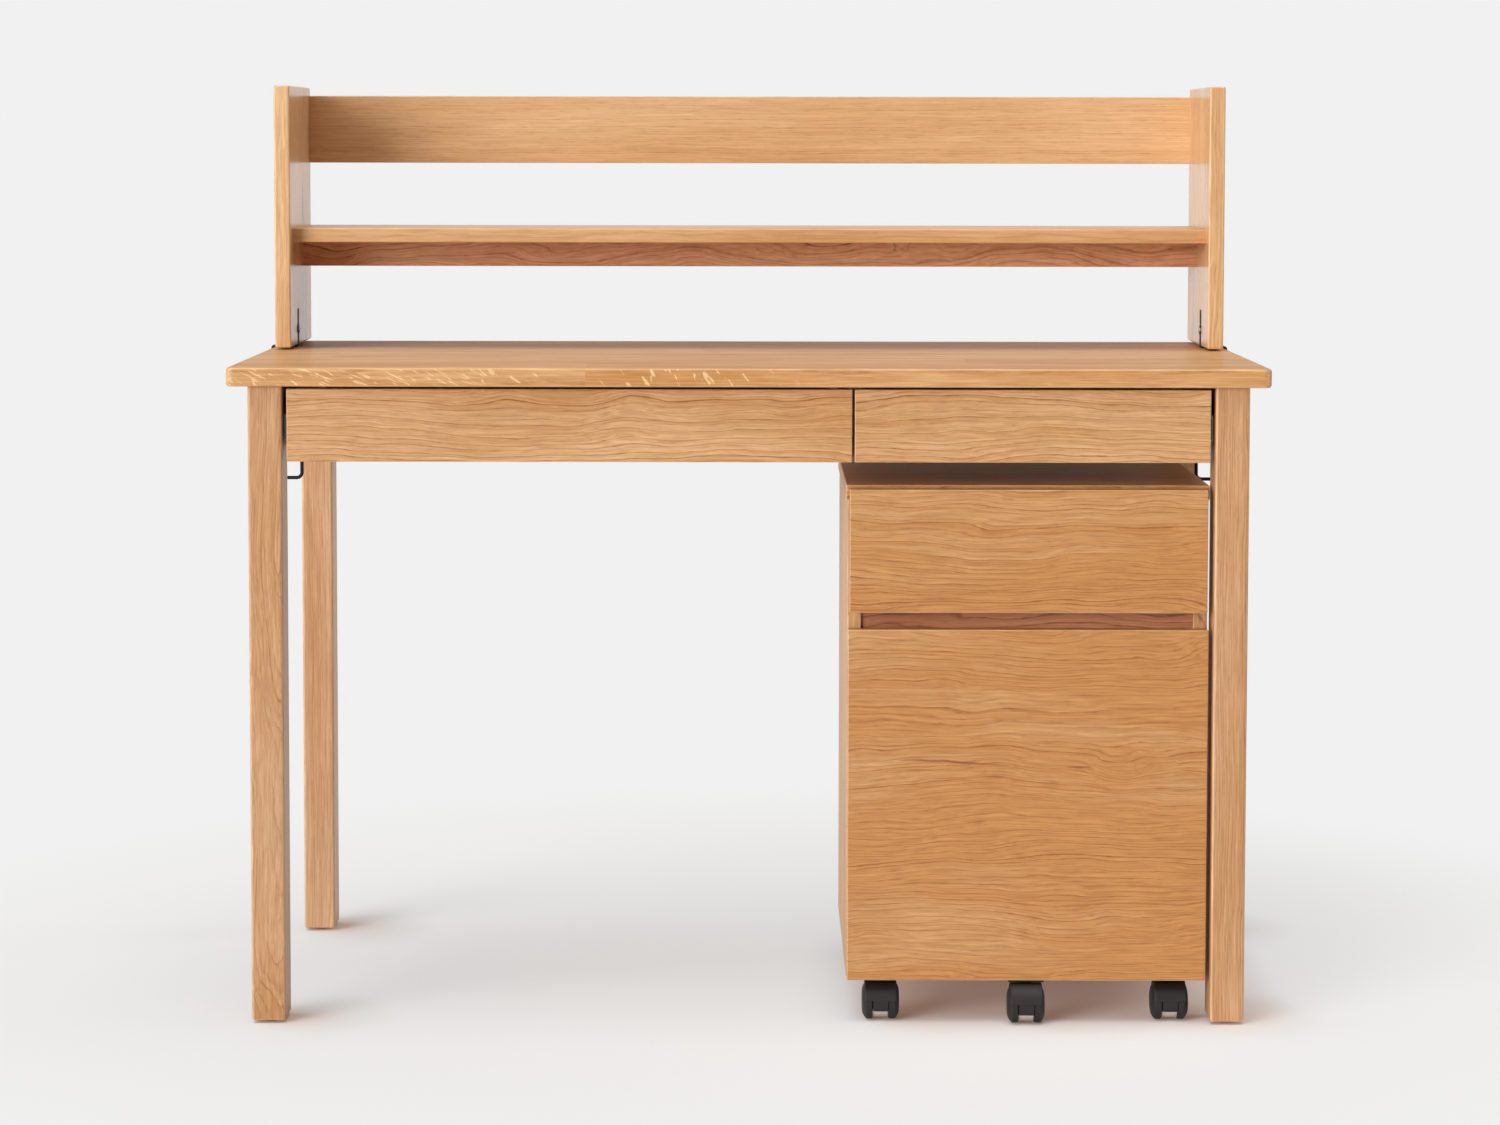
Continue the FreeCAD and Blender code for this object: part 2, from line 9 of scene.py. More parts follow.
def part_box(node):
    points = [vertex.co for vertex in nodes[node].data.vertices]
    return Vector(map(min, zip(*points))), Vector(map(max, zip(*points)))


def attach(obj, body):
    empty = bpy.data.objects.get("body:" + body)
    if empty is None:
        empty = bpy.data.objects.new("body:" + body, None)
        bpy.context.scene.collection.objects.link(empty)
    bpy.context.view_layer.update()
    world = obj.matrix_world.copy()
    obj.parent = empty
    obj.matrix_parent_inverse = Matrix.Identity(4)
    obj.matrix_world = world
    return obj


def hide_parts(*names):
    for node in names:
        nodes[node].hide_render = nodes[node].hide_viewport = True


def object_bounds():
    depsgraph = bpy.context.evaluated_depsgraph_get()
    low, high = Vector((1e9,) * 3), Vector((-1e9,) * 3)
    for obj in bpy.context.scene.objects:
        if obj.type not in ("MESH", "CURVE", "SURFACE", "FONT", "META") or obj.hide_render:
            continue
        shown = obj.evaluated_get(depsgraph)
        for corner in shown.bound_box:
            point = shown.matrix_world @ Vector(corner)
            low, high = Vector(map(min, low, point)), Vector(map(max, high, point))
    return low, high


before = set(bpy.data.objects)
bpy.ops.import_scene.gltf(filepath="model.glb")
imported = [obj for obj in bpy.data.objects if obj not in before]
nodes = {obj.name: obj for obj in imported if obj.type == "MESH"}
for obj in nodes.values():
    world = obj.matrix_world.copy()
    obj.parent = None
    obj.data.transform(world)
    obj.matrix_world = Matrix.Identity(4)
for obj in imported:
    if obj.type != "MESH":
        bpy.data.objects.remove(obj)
cad_box = [list(corner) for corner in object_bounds()]

MM = 0.001
X, Y, Z = 0, 1, 2

# The photograph's frame and the camera that looks into it
FRAME_WIDE = 1500
CAMERA_PLACE = Vector((0.005, -4.29, 0.938))
CAMERA_YAW = 0.052
CAMERA_PITCH = 4.05
CAMERA_ROLL = -0.09
CAMERA_FOCAL = 3833.0
CAMERA_SHIFT_UP = -0.10
SENSOR_WIDE = 36.0

# Lamps: how far to the left of the desk's front and how high each stands, how wide it looks, all in degrees,
# and how strong it is
LAMPS = {"key": (41.0, 9.0, 36.0, 2.85), "upper": (42.0, 46.0, 34.0, 0.6), "top": (0.0, 82.0, 36.0, 1.5),
         "side": (-100.0, 33.0, 36.0, 0.78)}
LAMP_COLOUR = (1.0, 0.99, 0.975)

# The light from all round, and the background, which mirrors in the object at full strength only from
# behind the desk: its strength in front and the half width of the turn between the two
SKY_COLOUR = (1.0, 0.985, 0.97, 1.0)
SKY_LIGHT = 0.02
SKY_SHOWN_FRONT = 0.12
SKY_TURN = 0.25
BACKGROUND = (241, 241, 241)

# Floor: how far it reaches, its look, and the ring in which its own shading fades into the background
FLOOR_HALF = 9.0
FLOOR_COLOUR = (236, 235, 234)
FLOOR_ROUGHNESS = 0.9
FLOOR_SHINE = 0.2
DUST_SCALE = 3.0
DUST_DARKEST = 0.99
FADE_CENTRE = (0.0, 0.1)
FADE_INNER, FADE_OUTER = 0.6, 1.3

# The glow of the floor inside that ring, taken away close under things as a painted contact shade that lies
# more on their
# right: how far off something must stand for the floor to keep the glow, how far the look for it leans to the
# left, how steeply it is lost, and the painted warm bounce light, a warm glow that takes its place close
# under wood, up to some share of open air
NEAR_GLOW_SHARE = 0.64
CONTACT_REACH = 0.12
CONTACT_LEAN = (-0.8, 0.0, -0.4)
CONTACT_FALL = 3.0
CONTACT_SAMPLES = 8
PAINTED_BOUNCE_GLOW = (222, 165, 138)
PAINTED_BOUNCE_SHARE = 0.18
PAINTED_BOUNCE_END = 0.6

# The range in which most values of a noise lie
NOISE_RANGE = (0.3, 0.7)


def linear(colour):
    """A screen colour from 0 to 255 as linear light, with full alpha."""
    shares = [value / 255 for value in colour]
    return tuple(s / 12.92 if s <= 0.04045 else ((s + 0.055) / 1.055) ** 2.4 for s in shares) + (1.0,)


class Graph:
    """A node tree, in which sums are written as calls on sockets."""

    def __init__(self, tree):
        self.tree = tree

    def put(self, socket, value):
        if isinstance(value, bpy.types.NodeSocket):
            self.tree.links.new(value, socket)
        else:
            socket.default_value = value

    def node(self, kind, inputs, output=0, **settings):
        node = self.tree.nodes.new(kind)
        for key, value in settings.items():
            setattr(node, key, value)
        for key, value in inputs.items():
            self.put(node.inputs[key], value)
        return node.outputs[output]

    def math(self, operation, first, second=0.0, clamp=False):
        return self.node("ShaderNodeMath", {0: first, 1: second}, operation=operation, use_clamp=clamp)

    def plus(self, first, second, clamp=False):
        return self.math("ADD", first, second, clamp)

    def minus(self, first, second):
        return self.math("SUBTRACT", first, second)

    def times(self, first, second, clamp=False):
        return self.math("MULTIPLY", first, second, clamp)

    def over(self, first, second, clamp=False):
        return self.math("DIVIDE", first, second, clamp)

    def split(self, vector):
        node = self.tree.nodes.new("ShaderNodeSeparateXYZ")
        self.put(node.inputs[0], vector)
        return list(node.outputs)

    def join(self, x, y, z):
        return self.node("ShaderNodeCombineXYZ", {0: x, 1: y, 2: z})

    def noise(self, place, scale=1.0, detail=2.0, roughness=0.5, distortion=0.0):
        inputs = {"Vector": place, "Scale": scale, "Detail": detail, "Roughness": roughness,
                  "Distortion": distortion}
        return self.node("ShaderNodeTexNoise", inputs, "Fac")

    def grain(self, place, changes, **facts):
        """Noise drawn out along the wood, from its changes in a metre along the grain and across it."""
        along, u, v = place
        lengthwise, crosswise = changes
        drawn = self.join(self.times(along, lengthwise), self.times(u, crosswise), self.times(v, crosswise))
        return self.noise(drawn, **facts)

    def stretch(self, value, low, high, low_out=0.0, high_out=1.0):
        """The value carried from one range to another and held inside it."""
        inputs = {"Value": value, "From Min": low, "From Max": high, "To Min": low_out, "To Max": high_out}
        return self.node("ShaderNodeMapRange", inputs, clamp=True)

    def curve(self, value, points):
        """The value through straight runs between the given points."""
        node = self.tree.nodes.new("ShaderNodeValToRGB")
        stops = node.color_ramp.elements
        while len(stops) < len(points):
            stops.new(1.0)
        for stop, (at, level) in zip(stops, points):
            stop.position = at
            stop.color = (level, level, level, 1.0)
        self.put(node.inputs[0], value)
        return node.outputs[0]

    def mix(self, share, first, second, blend="MIX"):
        node = self.tree.nodes.new("ShaderNodeMix")
        node.data_type = "RGBA"
        node.blend_type = blend
        self.put(node.inputs[0], share)
        self.put(node.inputs[6], first)
        self.put(node.inputs[7], second)
        return node.outputs[2]

    def shaded(self, colour, level):
        """A screen colour made darker or lighter by the level."""
        return self.mix(1.0, linear(colour), self.join(level, level, level), "MULTIPLY")

    def shown(self):
        """1 for the rays that show how a thing looks, 0 for those that carry its light to other things."""
        path = self.tree.nodes.new("ShaderNodeLightPath")
        seen = path.outputs["Is Camera Ray"]
        for other in ("Is Glossy Ray", "Is Transmission Ray"):
            seen = self.math("MAXIMUM", seen, path.outputs[other])
        return seen


class Skin(Graph):
    """The node tree of one new material, with the shader it ends in."""

    def __init__(self, name):
        self.material = bpy.data.materials.new(name)
        self.material.use_nodes = True
        super().__init__(self.material.node_tree)
        self.shader = self.tree.nodes["Principled BSDF"]
        coords = self.tree.nodes.new("ShaderNodeTexCoord")
        self.place = coords.outputs["Object"]
        self.normal = coords.outputs["Normal"]

    def bump(self, height, distance):
        normal = self.node("ShaderNodeBump", {"Height": height, "Distance": distance, "Strength": 1.0})
        self.put(self.shader.inputs["Normal"], normal)

    def set(self, inputs):
        for name, value in inputs.items():
            self.put(self.shader.inputs[name], value)


@dataclass
class Timber:
    """The colours of one kind of wood, from its palest to its ripest, and how strongly its grain shows."""
    pale: tuple
    ripe: tuple
    dark: tuple
    grain: float = 1.0
    fibre: float = 0.25


@dataclass
class Board:
    """How one board was cut, with the axes of its grain and of its thickness, and how it shows."""
    along: int
    depth: int
    heart: tuple = (0.25, 0.08)
    ring: float = 4.2 * MM
    wave: float = 12 * MM
    ripple: float = 2 * MM
    bold: float = 1.0
    ripe: float = 0.5
    fine: float = 1.0
    pore: float = 1.0
    gloss: float = 0.4
    shine: float = 0.5
    coat: float = 0.0
    seed: float = 0.0
    taper: float = 0.0
    knot: tuple = ()
    cracks: tuple = ()


OAK = Timber((230, 190, 144), (190, 133, 76), (146, 84, 28))
# A redder oak for the two rails in shade under overhangs: partly their own tone, partly painted warm bounce
# light
RED_OAK_WITH_BOUNCE = Timber((222, 168, 126), (176, 106, 66), (128, 62, 30))
ROSY_OAK = Timber((225, 188, 151), (186, 132, 82), (150, 92, 42), grain=0.85)
LINING = Timber((232, 205, 165), (222, 192, 150), (190, 150, 100), grain=0.5, fibre=0.1)
COAT_ROUGHNESS = 0.2

# Noises in the wood: how often each changes in a metre along the grain and across it
SLOW_BEND = (5.0, 11.0)
QUICK_BEND = (19.0, 55.0)
FADE_GRAIN = (14.0, 200.0)
STREAK_GRAIN = (70.0, 420.0)
FIBRE_GRAIN = (18.0, 460.0)
CLOUD_GRAIN = (3.0, 14.0)
FINE_ROUGHNESS = 0.6
QUICK_ROUGHNESS = 0.55

# Years: the darkness through one year from its start, how uneven the years are, how weak the weakest is, and
# how weak a line gets where it fades
YEAR_SHAPE = ((0.0, 0.4), (0.05, 1.0), (0.12, 0.7), (0.24, 0.14), (0.94, 0.0), (1.0, 0.4))
UNEVEN_SCALE = 0.6
UNEVEN_YEARS = 1.3
YEAR_WEAKEST = 0.3
FADE_RANGE = (0.35, 0.65)
FADE_WEAKEST = 0.7
EARLY_DARK = 0.95

# Pores: the streaks' level above which they show and how dark they are, in late and in early wood, and how
# sharp their edges are
PORE_LEVELS = (0.56, 0.44)
PORE_DARKS = (0.13, 0.5)
PORE_EDGE = 8.0

# How much riper or paler a cloud and a year make the wood, and what the fibres do to red, green and blue and
# to the relief
CLOUD_RIPE = 0.2
YEAR_RIPE = 0.08
FIBRE_RANGE = (0.25, 0.75)
FIBRE_SHARES = (0.72, 1.0, 1.45)
FIBRE_RELIEF = 0.2
WOOD_RELIEF = 0.1 * MM
PORE_GLOSS_LOSS = 0.2

# Rounded edges: how square to an axis the surface still is where they start, and how strongly a painted
# highlight lightens them
ARRIS_RANGE = (0.86, 0.97)
ARRIS_HIGHLIGHT = 0.5

# Cracks
CRACK_COLOUR = (124, 52, 8)
CRACK_WIDE = 2.0 * MM
CRACK_WAVER = 5 * MM
CRACK_CHANGES = 40.0
CRACK_STRENGTH = 0.9

# Planks of the desk top: where the first one starts from the front, how wide and how long they are and where
# a joint lies, then how far each row is shifted, in lengths, and how much each differs
TOP_PLANKS = (cad_box[0][Y], 0.092, 1.1, -0.172)
PLANK_SHIFT = 0.37
PLANK_SEEDS = 37.0
PLANK_RIPE = 0.05

# Ray flecks: where along the desk top each kind starts and ends, how it leans in degrees, the length and the
# width of its strokes, and the level of noise above which a stroke shows
RAY_FLECKS = ((-0.56, -0.27, 24.0, 16 * MM, 2.6 * MM, 0.6), (-0.33, -0.19, 38.0, 22 * MM, 4.4 * MM, 0.63),
              (-0.17, 0.06, 56.0, 22 * MM, 5.6 * MM, 0.6))
FLECK_COLOUR = (244, 202, 156)
FLECK_STRENGTH = 0.75
FLECK_FADE = 0.04
FLECK_EDGE = 0.05
FLECK_WARP = 0.5
FLECK_FACING = (-0.9, -0.6)


def wood(name, timber, board, centre, planks=None, flecks=False):
    """Oak sawn from a log: rings round a heart, cut by pores, fibres and slow changes of colour."""
    g = Skin(name)
    parts = g.split(g.place)
    across_axis = X + Y + Z - board.along - board.depth
    along = g.plus(parts[board.along], board.seed)
    across = g.minus(parts[across_axis], centre[across_axis])
    depth = g.minus(parts[board.depth], centre[board.depth])
    ripe = board.ripe
    if planks:
        along, across, ripe = laid_planks(g, parts, across_axis, along, across, ripe, planks)

    bend = grain_bend(g, board, (along, across, depth))
    if board.knot:
        bend = g.plus(bend, knot_bend(g, parts, board, across_axis))
    u = g.plus(across, bend)
    v = g.plus(g.plus(depth, g.times(parts[board.along], board.taper)), bend)
    place = (along, u, v)
    years, year = grown_years(g, board, u, v)

    fade = g.grain(place, FADE_GRAIN, detail=1.0)
    strength = g.times(g.stretch(year, 0.0, 1.0, YEAR_WEAKEST, 1.0),
                       g.stretch(fade, *FADE_RANGE, FADE_WEAKEST, 1.0))
    early = g.times(g.curve(g.math("FRACT", years), YEAR_SHAPE), strength)
    streak = g.grain(place, STREAK_GRAIN, roughness=FINE_ROUGHNESS)
    pores = g.times(g.minus(streak, g.stretch(early, 0.0, 1.0, *PORE_LEVELS)), PORE_EDGE, clamp=True)
    fibre = g.grain(place, FIBRE_GRAIN, roughness=FINE_ROUGHNESS)
    cloud = g.grain(place, CLOUD_GRAIN)

    pore_dark = g.stretch(early, 0.0, 1.0, *[dark * board.pore for dark in PORE_DARKS])
    shade = g.plus(g.times(early, EARLY_DARK), g.times(pores, pore_dark))
    shade = g.times(shade, timber.grain * board.bold, clamp=True)
    ripe = g.plus(ripe, g.stretch(cloud, *NOISE_RANGE, -CLOUD_RIPE, CLOUD_RIPE))
    ripe = g.plus(ripe, g.stretch(year, 0.0, 1.0, -YEAR_RIPE, YEAR_RIPE), clamp=True)
    colour = g.mix(ripe, linear(timber.pale), linear(timber.ripe))
    colour = g.mix(shade, colour, linear(timber.dark))
    for crack in board.cracks:
        colour = g.mix(crack_line(g, parts, board, across_axis, crack), colour, linear(CRACK_COLOUR))
    # Painted highlight: the rounded edges are lightened towards the pale colour, as if they caught the light
    colour = g.mix(g.times(arris(g), ARRIS_HIGHLIGHT), colour, linear(timber.pale))
    if flecks:
        colour = ray_flecks(g, colour, parts)
    reach = timber.fibre * board.fine
    level = g.stretch(fibre, *FIBRE_RANGE, -reach, reach)
    tint = [g.plus(g.times(level, share), 1.0) for share in FIBRE_SHARES]
    colour = g.mix(1.0, colour, g.join(*tint), "MULTIPLY")
    gloss = g.stretch(shade, 0.0, 1.0, board.gloss, board.gloss + PORE_GLOSS_LOSS)
    g.set({"Base Color": colour, "Roughness": gloss, "Specular IOR Level": board.shine,
           "Coat Weight": board.coat, "Coat Roughness": COAT_ROUGHNESS})
    g.bump(g.minus(g.times(fibre, FIBRE_RELIEF), shade), WOOD_RELIEF)
    return g.material


def grown_years(g, board, u, v):
    """The years from the heart out to a place, not all as wide, and a random number for each year."""
    from_heart = g.join(g.minus(u, board.heart[0]), g.minus(v, board.heart[1]), 0.0)
    radius = g.node("ShaderNodeVectorMath", {0: from_heart}, "Value", operation="LENGTH")
    years = g.over(radius, board.ring)
    inputs = {"W": years, "Scale": UNEVEN_SCALE, "Detail": 1.0}
    uneven = g.node("ShaderNodeTexNoise", inputs, "Fac", noise_dimensions="1D")
    years = g.plus(years, g.times(uneven, UNEVEN_YEARS))
    year = g.node("ShaderNodeTexWhiteNoise", {"W": g.math("FLOOR", years)}, "Value", noise_dimensions="1D")
    return years, year


def arris(g):
    """1 on the rounded edges of a board and 0 on its faces."""
    sides = [g.math("ABSOLUTE", side) for side in g.split(g.normal)]
    squarest = g.math("MAXIMUM", g.math("MAXIMUM", sides[X], sides[Y]), sides[Z])
    return g.stretch(squarest, *ARRIS_RANGE, 1.0, 0.0)


def grain_bend(g, board, place):
    """How far the grain strays from straight: a slow wave and a quick ripple."""
    slow = g.grain(place, SLOW_BEND)
    quick = g.grain(place, QUICK_BEND, detail=2.5, roughness=QUICK_ROUGHNESS)
    return g.plus(g.times(g.minus(slow, 0.5), 2 * board.wave), g.times(g.minus(quick, 0.5), 2 * board.ripple))


def knot_bend(g, parts, board, across_axis):
    """The grain's detour round a knot: its place along and across the board, its reach and its push."""
    place_along, place_across, reach, push = board.knot
    way = g.over(g.minus(parts[board.along], place_along), reach)
    off = g.over(g.minus(parts[across_axis], place_across), reach)
    far = g.plus(g.times(way, way), g.times(off, off))
    return g.over(push, g.plus(1.0, g.times(far, far)))


def crack_line(g, parts, board, across_axis, crack):
    """A thin dark check in the wood: its middle along and across the board, half its length and its rise."""
    middle, height, half, rise = crack
    run = g.over(g.minus(parts[board.along], middle), half)
    waver = g.noise(g.join(g.times(parts[board.along], CRACK_CHANGES), height, 0.0))
    line = g.plus(g.times(run, rise), g.times(g.minus(waver, 0.5), CRACK_WAVER))
    off = g.math("ABSOLUTE", g.minus(g.minus(parts[across_axis], height), line))
    wide = g.times(g.minus(1.0, g.times(run, run)), CRACK_WIDE)
    return g.times(g.over(g.minus(wide, off), CRACK_WIDE, clamp=True), CRACK_STRENGTH)


def laid_planks(g, parts, across_axis, along, across, ripe, planks):
    """Each plank of a glued-up board gets grain of its own, and so does each length within it."""
    first, wide, length, joint = planks
    row = g.math("FLOOR", g.over(g.minus(parts[across_axis], first), wide))
    shifted = g.minus(parts[X], g.plus(joint, g.times(row, PLANK_SHIFT * length)))
    piece = g.math("FLOOR", g.over(shifted, length))
    random = g.node("ShaderNodeTexWhiteNoise", {"Vector": g.join(row, piece, 0.0)}, "Value")
    along = g.plus(along, g.times(random, PLANK_SEEDS))
    across = g.plus(across, g.times(g.minus(random, 0.5), 2 * wide))
    return along, across, g.plus(ripe, g.stretch(random, 0.0, 1.0, -PLANK_RIPE, PLANK_RIPE))


def ray_flecks(g, colour, parts):
    """Pale strokes on a front edge, where it is cut along the wood's rays."""
    facing = g.stretch(g.split(g.normal)[Y], *FLECK_FACING, 1.0, 0.0)
    for low, high, lean, long, wide, least in RAY_FLECKS:
        cosine, sine = math.cos(math.radians(lean)), math.sin(math.radians(lean))
        run = g.minus(g.times(parts[X], cosine), g.times(parts[Z], sine))
        off = g.plus(g.times(parts[X], sine), g.times(parts[Z], cosine))
        cells = g.noise(g.join(g.over(run, long), g.over(off, wide), low), detail=1.0, distortion=FLECK_WARP)
        ends = g.times(g.stretch(parts[X], low, low + FLECK_FADE),
                       g.stretch(parts[X], high - FLECK_FADE, high, 1.0, 0.0))
        flake = g.times(g.stretch(cells, least, least + FLECK_EDGE), g.times(ends, facing))
        colour = g.mix(g.times(flake, FLECK_STRENGTH), colour, linear(FLECK_COLOUR))
    return colour


def centre_of(name):
    """The middle of a node's box."""
    low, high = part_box(name)
    return (low + high) / 2


# Metals and plastics: how often their patches change in a metre, how rough those are, and how far they move
# the colour and the gloss
PATCH_SCALE = 28.0
PATCH_ROUGHNESS = 0.6
TINT_VARY = 0.1
GLOSS_VARY = 0.06


def plain(name, colour, roughness, metal=0.0, shine=0.5, grain=900.0, relief=0.04 * MM):
    """A finished metal or a moulded plastic, with a fine skin and slow changes in its gloss."""
    g = Skin(name)
    skin = g.noise(g.place, scale=grain, detail=3.0)
    patch = g.noise(g.place, scale=PATCH_SCALE, detail=3.0, roughness=PATCH_ROUGHNESS)
    tint = g.stretch(patch, *NOISE_RANGE, 1.0 - TINT_VARY, 1.0 + TINT_VARY)
    gloss = g.stretch(patch, *NOISE_RANGE, roughness - GLOSS_VARY, roughness + GLOSS_VARY)
    g.set({"Base Color": g.shaded(colour, tint), "Metallic": metal, "Roughness": gloss,
           "Specular IOR Level": shine})
    g.bump(skin, relief)
    return g.material


def dress(material, *names):
    """Give the named nodes the material."""
    for name in names:
        mesh = nodes[name].data
        mesh.materials.clear()
        mesh.materials.append(material)


BOARDS = {
    "desk_top": Board(X, Z, (0.3, -0.09), 3.4 * MM, 5 * MM, 1.5 * MM, bold=0.6, ripe=0.64, gloss=0.65,
                      shine=0.1, coat=0.17, seed=3.0),
    "leg_front_left": Board(Z, Y, (0.016, 0.02), 3.0 * MM, 9 * MM, bold=0.7, ripe=0.74, seed=11.0,
                            taper=0.08),
    "leg_front_right": Board(Z, Y, (0.2, 0.05), 2.6 * MM, 5 * MM, 1.2 * MM, bold=0.9, ripe=0.72, seed=23.0),
    "leg_rear_left": Board(Z, Y, (0.2, 0.03), 2.8 * MM, 6 * MM, 1.5 * MM, bold=0.7, ripe=0.65, seed=31.0),
    "leg_rear_right": Board(Z, Y, (-0.2, 0.03), 4.0 * MM, 6 * MM, 1.5 * MM, seed=47.0),
    "side_apron_left": Board(Y, X, seed=51.0),
    "side_apron_right": Board(Y, X, seed=58.0),
    "rear_apron": Board(X, Y, seed=63.0),
    "drawer_divider": Board(Y, X, seed=68.0),
    "hutch_side_left": Board(Z, X, (0.02, 0.06), 3.6 * MM, 8 * MM, bold=0.5, ripe=0.12, gloss=0.22,
                             seed=71.0),
    "hutch_side_right": Board(Z, X, (-0.05, 0.07), 3.6 * MM, 8 * MM, bold=0.5, ripe=0.3, gloss=0.22,
                              seed=83.0),
    "hutch_board": Board(X, Y, (-0.25, 0.05), 3.0 * MM, 4 * MM, 1.5 * MM, bold=0.35, ripe=0.42, fine=0.6,
                         pore=2.2, seed=92.0),
    "hutch_shelf": Board(X, Z, (0.02, 0.07), 3.2 * MM, 6 * MM, bold=0.3, ripe=0.6, fine=0.7, seed=105.0),
    "hutch_shelf_rail": Board(X, Y, (0.09, 0.02), wave=34 * MM, bold=0.95, ripe=0.15, seed=117.0),
    "drawer_left_front": Board(X, Y, wave=16 * MM, bold=1.1, ripe=0.7, seed=121.0,
                               knot=(-0.185, 0.685, 0.05, 0.01)),
    "drawer_right_front": Board(X, Y, wave=14 * MM, bold=1.1, ripe=0.7, seed=133.0),
    "pedestal_top": Board(X, Z, ripe=0.9, seed=141.0),
    "pedestal_side_left": Board(Z, X, ripe=0.6, seed=147.0),
    "pedestal_side_right": Board(Z, X, ripe=0.6, seed=152.0),
    "pedestal_back": Board(X, Y, ripe=0.7, seed=157.0),
    "pedestal_bottom": Board(X, Z, ripe=0.7, seed=161.0),
    "pedestal_rail": Board(X, Y, (0.01, 0.02), 4.0 * MM, 8 * MM, ripe=0.75, seed=166.0),
    "upper_drawer_front": Board(X, Y, wave=16 * MM, ripe=1.0, seed=171.0),
    "file_drawer_front": Board(X, Y, wave=18 * MM, bold=0.9, ripe=1.0, seed=187.0,
                               knot=(0.392, 0.276, 0.024, 0.006),
                               cracks=((0.215, 0.281, 0.076, -0.004), (0.351, 0.276, 0.015, 0.0))),
}
# The two rails in shade get the redder oak, partly as painted warm bounce light
TIMBERS = {"pedestal_rail": RED_OAK_WITH_BOUNCE, "hutch_shelf_rail": RED_OAK_WITH_BOUNCE, "leg_front_left": ROSY_OAK,
           "leg_front_right": ROSY_OAK, "leg_rear_left": ROSY_OAK, "leg_rear_right": ROSY_OAK}
DRAWERS = ("drawer_left", "drawer_right", "upper_drawer", "file_drawer")
CASTERS = ("front_left", "front_right", "rear_left", "rear_right", "drawer")

# Screws: the shank and its tip, the side and the dome of a pan head as shares of its radius and its height,
# the rings and sides that it is drawn with, and the cross in it, with the height above which it is sunk
WELD = 0.01 * MM
SHANK_LONG = 12 * MM
SHANK_RADIUS = 1.8 * MM
SHANK_TIP = 0.4
HEAD_SIDE = ((0.97, 0.0), (1.0, 0.1), (1.0, 0.45), (0.96, 0.66))
DOME_WIDE, DOME_FOOT, DOME_RISE = 0.9, 0.8, 0.2
HEAD_RINGS = 12
HEAD_SIDES = 48
CROSS_WIDE, CROSS_LONG, CROSS_SLOPE, CROSS_DEEP = 0.14, 0.62, 0.07, 0.55
CROSS_ABOVE = 0.7

# The steel strip under a caster's web, in degrees below the level of the axle
CLIP_WIDE = 15 * MM
CLIP_THICK = 0.8 * MM
CLIP_INSET = 0.8 * MM
CLIP_FROM, CLIP_TO, CLIP_STEPS = 20.0, 58.0, 12


def dress_wood():
    """Each board gets an oak of its own, and the drawers' insides a paler wood."""
    for name, board in BOARDS.items():
        is_top = name == "desk_top"
        planks = TOP_PLANKS if is_top else None
        material = wood("oak_" + name, TIMBERS.get(name, OAK), board, centre_of(name), planks, is_top)
        dress(material, name)
    lining = wood("drawer_lining", LINING, Board(X, Z, seed=201.0), Vector((0, 0, 0)))
    side_lining = wood("drawer_side_lining", LINING, Board(Y, X, seed=214.0), Vector((0, 0, 0)))
    for drawer in DRAWERS:
        dress(side_lining, drawer + "_sides")
        dress(lining, drawer + "_back", drawer + "_bottom")


def finish_mesh(bm, name, material):
    """A smooth-shaded object from the mesh, with its own material."""
    bmesh.ops.recalc_face_normals(bm, faces=bm.faces)
    mesh = bpy.data.meshes.new(name)
    bm.to_mesh(mesh)
    bm.free()
    mesh.shade_smooth()
    mesh.materials.append(material)
    piece = bpy.data.objects.new(name, mesh)
    bpy.context.scene.collection.objects.link(piece)
    return piece


def joined_groups(bm):
    """The vertices of each loose part of a mesh, in the mesh's own order."""
    reached = set()
    for first in bm.verts:
        if first in reached:
            continue
        group = [first]
        reached.add(first)
        for vert in group:
            for edge in vert.link_edges:
                near = edge.other_vert(vert)
                if near not in reached:
                    reached.add(near)
                    group.append(near)
        yield [vert.co.copy() for vert in group]


def screw_places():
    """The seat, the way out of the wood, the head's radius and its height, of each screw in the desk."""
    bm = bmesh.new()
    bm.from_mesh(nodes["desk_screws"].data)
    bmesh.ops.remove_doubles(bm, verts=bm.verts, dist=WELD)
    places = []
    for points in joined_groups(bm):
        low = Vector([min(point[axis] for point in points) for axis in (X, Y, Z)])
        high = Vector([max(point[axis] for point in points) for axis in (X, Y, Z)])
        size = high - low
        middle = (low + high) / 2
        axis = max((X, Y, Z), key=lambda a: size[a])
        radius = max(size[a] for a in (X, Y, Z) if a != axis) / 2
        rim = []
        for point in points:
            off_axis = (point - middle).length_squared - (point[axis] - middle[axis]) ** 2
            if abs(off_axis - radius ** 2) < WELD * radius:
                rim.append(point)
        out = 1.0 if sum(point[axis] - middle[axis] for point in rim) > 0 else -1.0
        way = Vector([out if a == axis else 0.0 for a in (X, Y, Z)])
        head_high = size[axis] - SHANK_LONG
        seat = middle + way * (size[axis] / 2 - head_high)
        places.append((seat, way, radius, head_high))
    bm.free()
    return places


def recess(across, up, radius):
    """How deep the cross for the driver is at a point of the head, from 0 to 1."""
    arm = min(abs(across), abs(up)) / radius
    reach = max(abs(across), abs(up)) / radius
    side = min(max((CROSS_WIDE - arm) / CROSS_SLOPE, 0.0), 1.0)
    end = min(max((CROSS_LONG - reach) / CROSS_SLOPE, 0.0), 1.0)
    return side * end


